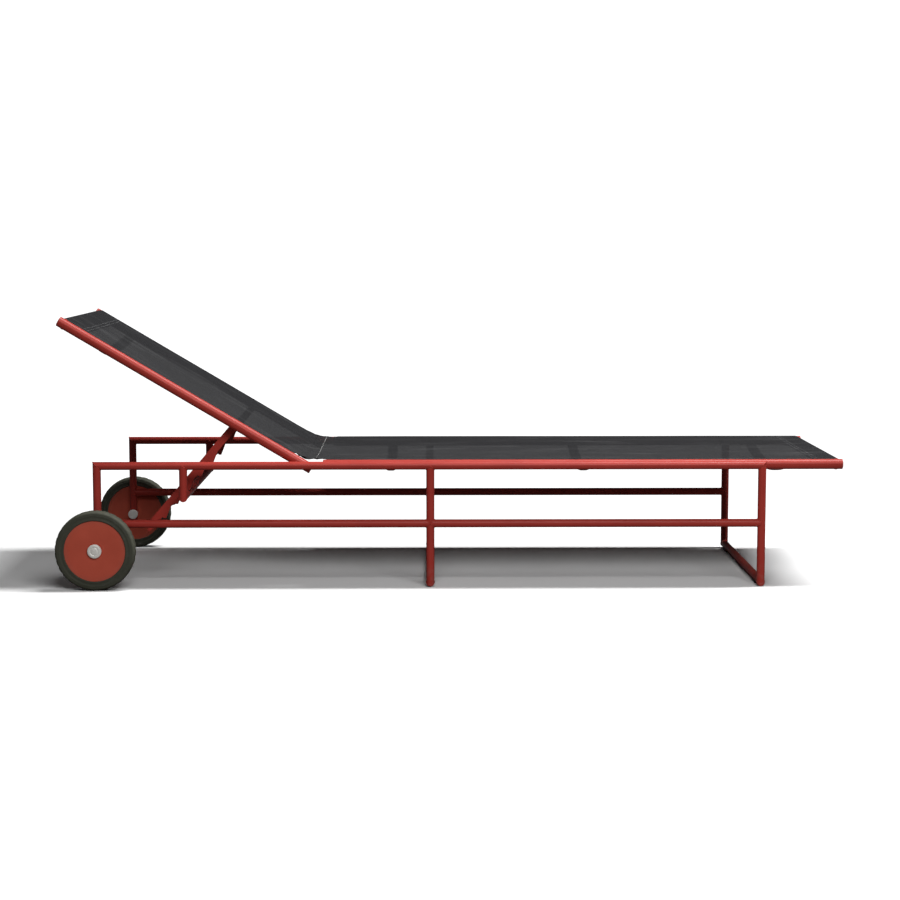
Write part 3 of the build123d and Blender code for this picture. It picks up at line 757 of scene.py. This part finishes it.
# The tyre laps 1 mm over the rim of the disc.
tyre_height = 0.023
tyre_inner = wheel_radius - tyre_height
for side, sign in (("left", 1), ("right", -1)):
    tyre_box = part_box(f"tyre_{side}")
    middle = centre(f"tyre_{side}")
    profile = tyre_profile(wheel_radius, tyre_inner, (tyre_box[1][1] - tyre_box[0][1]) / 2)
    crown = wheel_radius - 0.003
    shoulder = [k for k, (r, y) in enumerate(profile) if 0.0060 < abs(y) < 0.0150 and r > crown]
    tyre = turned(f"rubber_tyre_{side}", middle, sign, profile, slots["tyre"], notches=shoulder)
    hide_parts(f"tyre_{side}")
    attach(tyre, f"wheel_{side}")

    cap_size = extent(f"hub_cap_{side}")
    cap_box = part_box(f"hub_cap_{side}")
    inner_face = cap_box[0][1] if sign > 0 else cap_box[1][1]
    radius, height = cap_size.x / 2, cap_size.y
    cap_profile = [(radius, 0.0), (radius, height * 0.42)]
    for turn in np.linspace(0.1, 1.0, 8) * math.pi / 2:
        cap_profile.append((radius - 0.003 + 0.003 * math.cos(turn), height * 0.42 + 0.0024 * math.sin(turn)))
    cap_profile += [(radius * 0.66, height * 0.93), (radius * 0.60, height * 0.90)]
    cap_profile += [(radius * 0.57, height * 0.80), (radius * 0.53, height * 0.78)]
    cap_profile += [(radius * 0.49, height * 0.88), (radius * 0.30, height * 0.98)]
    cap_profile += [(radius * 0.12, height), (radius * 0.02, height)]
    cap_axle = Vector((middle.x, inner_face, middle.z))
    cap = turned(
        f"hub_cover_{side}", cap_axle, sign, cap_profile, slots["silver_cap"], segments=96, closed=False
    )
    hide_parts(f"hub_cap_{side}")
    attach(cap, f"wheel_{side}")


# --- Floor, light and camera ---------------------------------------------------------------------
floor_mesh = bpy.data.meshes.new("studio_floor")
floor_mesh.from_pydata([(-30, -30, 0), (30, -30, 0), (30, 30, 0), (-30, 30, 0)], [], [(0, 1, 2, 3)])
floor = bpy.data.objects.new("studio_floor", floor_mesh)
bpy.context.scene.collection.objects.link(floor)
paper = Surface("studio_paper", Roughness=0.95, Specular_IOR_Level=0.1)
seen = paper.node("ShaderNodeLightPath").outputs["Is Camera Ray"]
shade = paper.mix(seen, (0.13, 0.125, 0.122), (0.90, 0.90, 0.90))
paper.set("Base Color", paper.mix(paper.span(paper.noise(40.0), 0.3, 0.7, 0.0, 0.02), shade, (0.8, 0.8, 0.8)))
stretch_inputs = {0: paper.coord.outputs["Object"], 3: (0.62, 1.0, 1.0)}
stretch = paper.node("ShaderNodeMapping", stretch_inputs).outputs[0]
far_off = paper.node("ShaderNodeVectorMath", {0: stretch}, operation="LENGTH").outputs["Value"]
lit = paper.node("ShaderNodeEmission", {"Strength": 1.2})
fade = paper.maths("MULTIPLY", paper.span(far_off, 0.85, 1.35), seen)
blend_in = paper.node("ShaderNodeMixShader", {0: fade, 1: paper.shader.outputs[0], 2: lit.outputs[0]})
paper.tree.links.new(blend_in.outputs[0], paper.tree.nodes["Material Output"].inputs["Surface"])
floor_mesh.materials.append(paper.material)

world = bpy.data.worlds.new("studio")
bpy.context.scene.world = world
world.use_nodes = True
background = world.node_tree.nodes["Background"]
is_camera = world.node_tree.nodes.new("ShaderNodeLightPath").outputs["Is Camera Ray"]
strength = world.node_tree.nodes.new("ShaderNodeMapRange")
strength.inputs["To Min"].default_value = 0.035
strength.inputs["To Max"].default_value = 1.2
world.node_tree.links.new(is_camera, strength.inputs["Value"])
world.node_tree.links.new(strength.outputs["Result"], background.inputs["Strength"])
background.inputs["Color"].default_value = (1, 1, 1, 1)


def softbox(name, place, aim, size, power):
    light = bpy.data.lights.new(name, "AREA")
    light.shape = "RECTANGLE"
    light.size, light.size_y = size
    light.energy = power
    made = bpy.data.objects.new(name, light)
    made.location = place
    made.rotation_euler = (Vector(aim) - Vector(place)).to_track_quat("-Z", "Y").to_euler()
    bpy.context.scene.collection.objects.link(made)


softbox("top_softbox", (2.3, 0.25, 6.0), (0.1, 0, 0.2), (0.9, 3.6), 600)
softbox("front_softbox", (0.6, -3.3, 2.5), (0.1, 0, 0.2), (2.4, 1.4), 92)

camera_data = bpy.data.cameras.new("camera")
camera_data.lens = 82.07
camera_data.sensor_width = 36.0
camera = bpy.data.objects.new("camera", camera_data)
camera.location = (-0.06235, -5.3081, 0.8678)
turn, pitch = math.radians(0.675), math.radians(6.047)
aim = Vector((math.sin(turn) * math.cos(pitch), math.cos(turn) * math.cos(pitch), -math.sin(pitch)))
camera.rotation_euler = aim.to_track_quat("-Z", "Y").to_euler()
bpy.context.scene.collection.objects.link(camera)
bpy.context.scene.camera = camera
bpy.context.scene.view_settings.view_transform = "Standard"
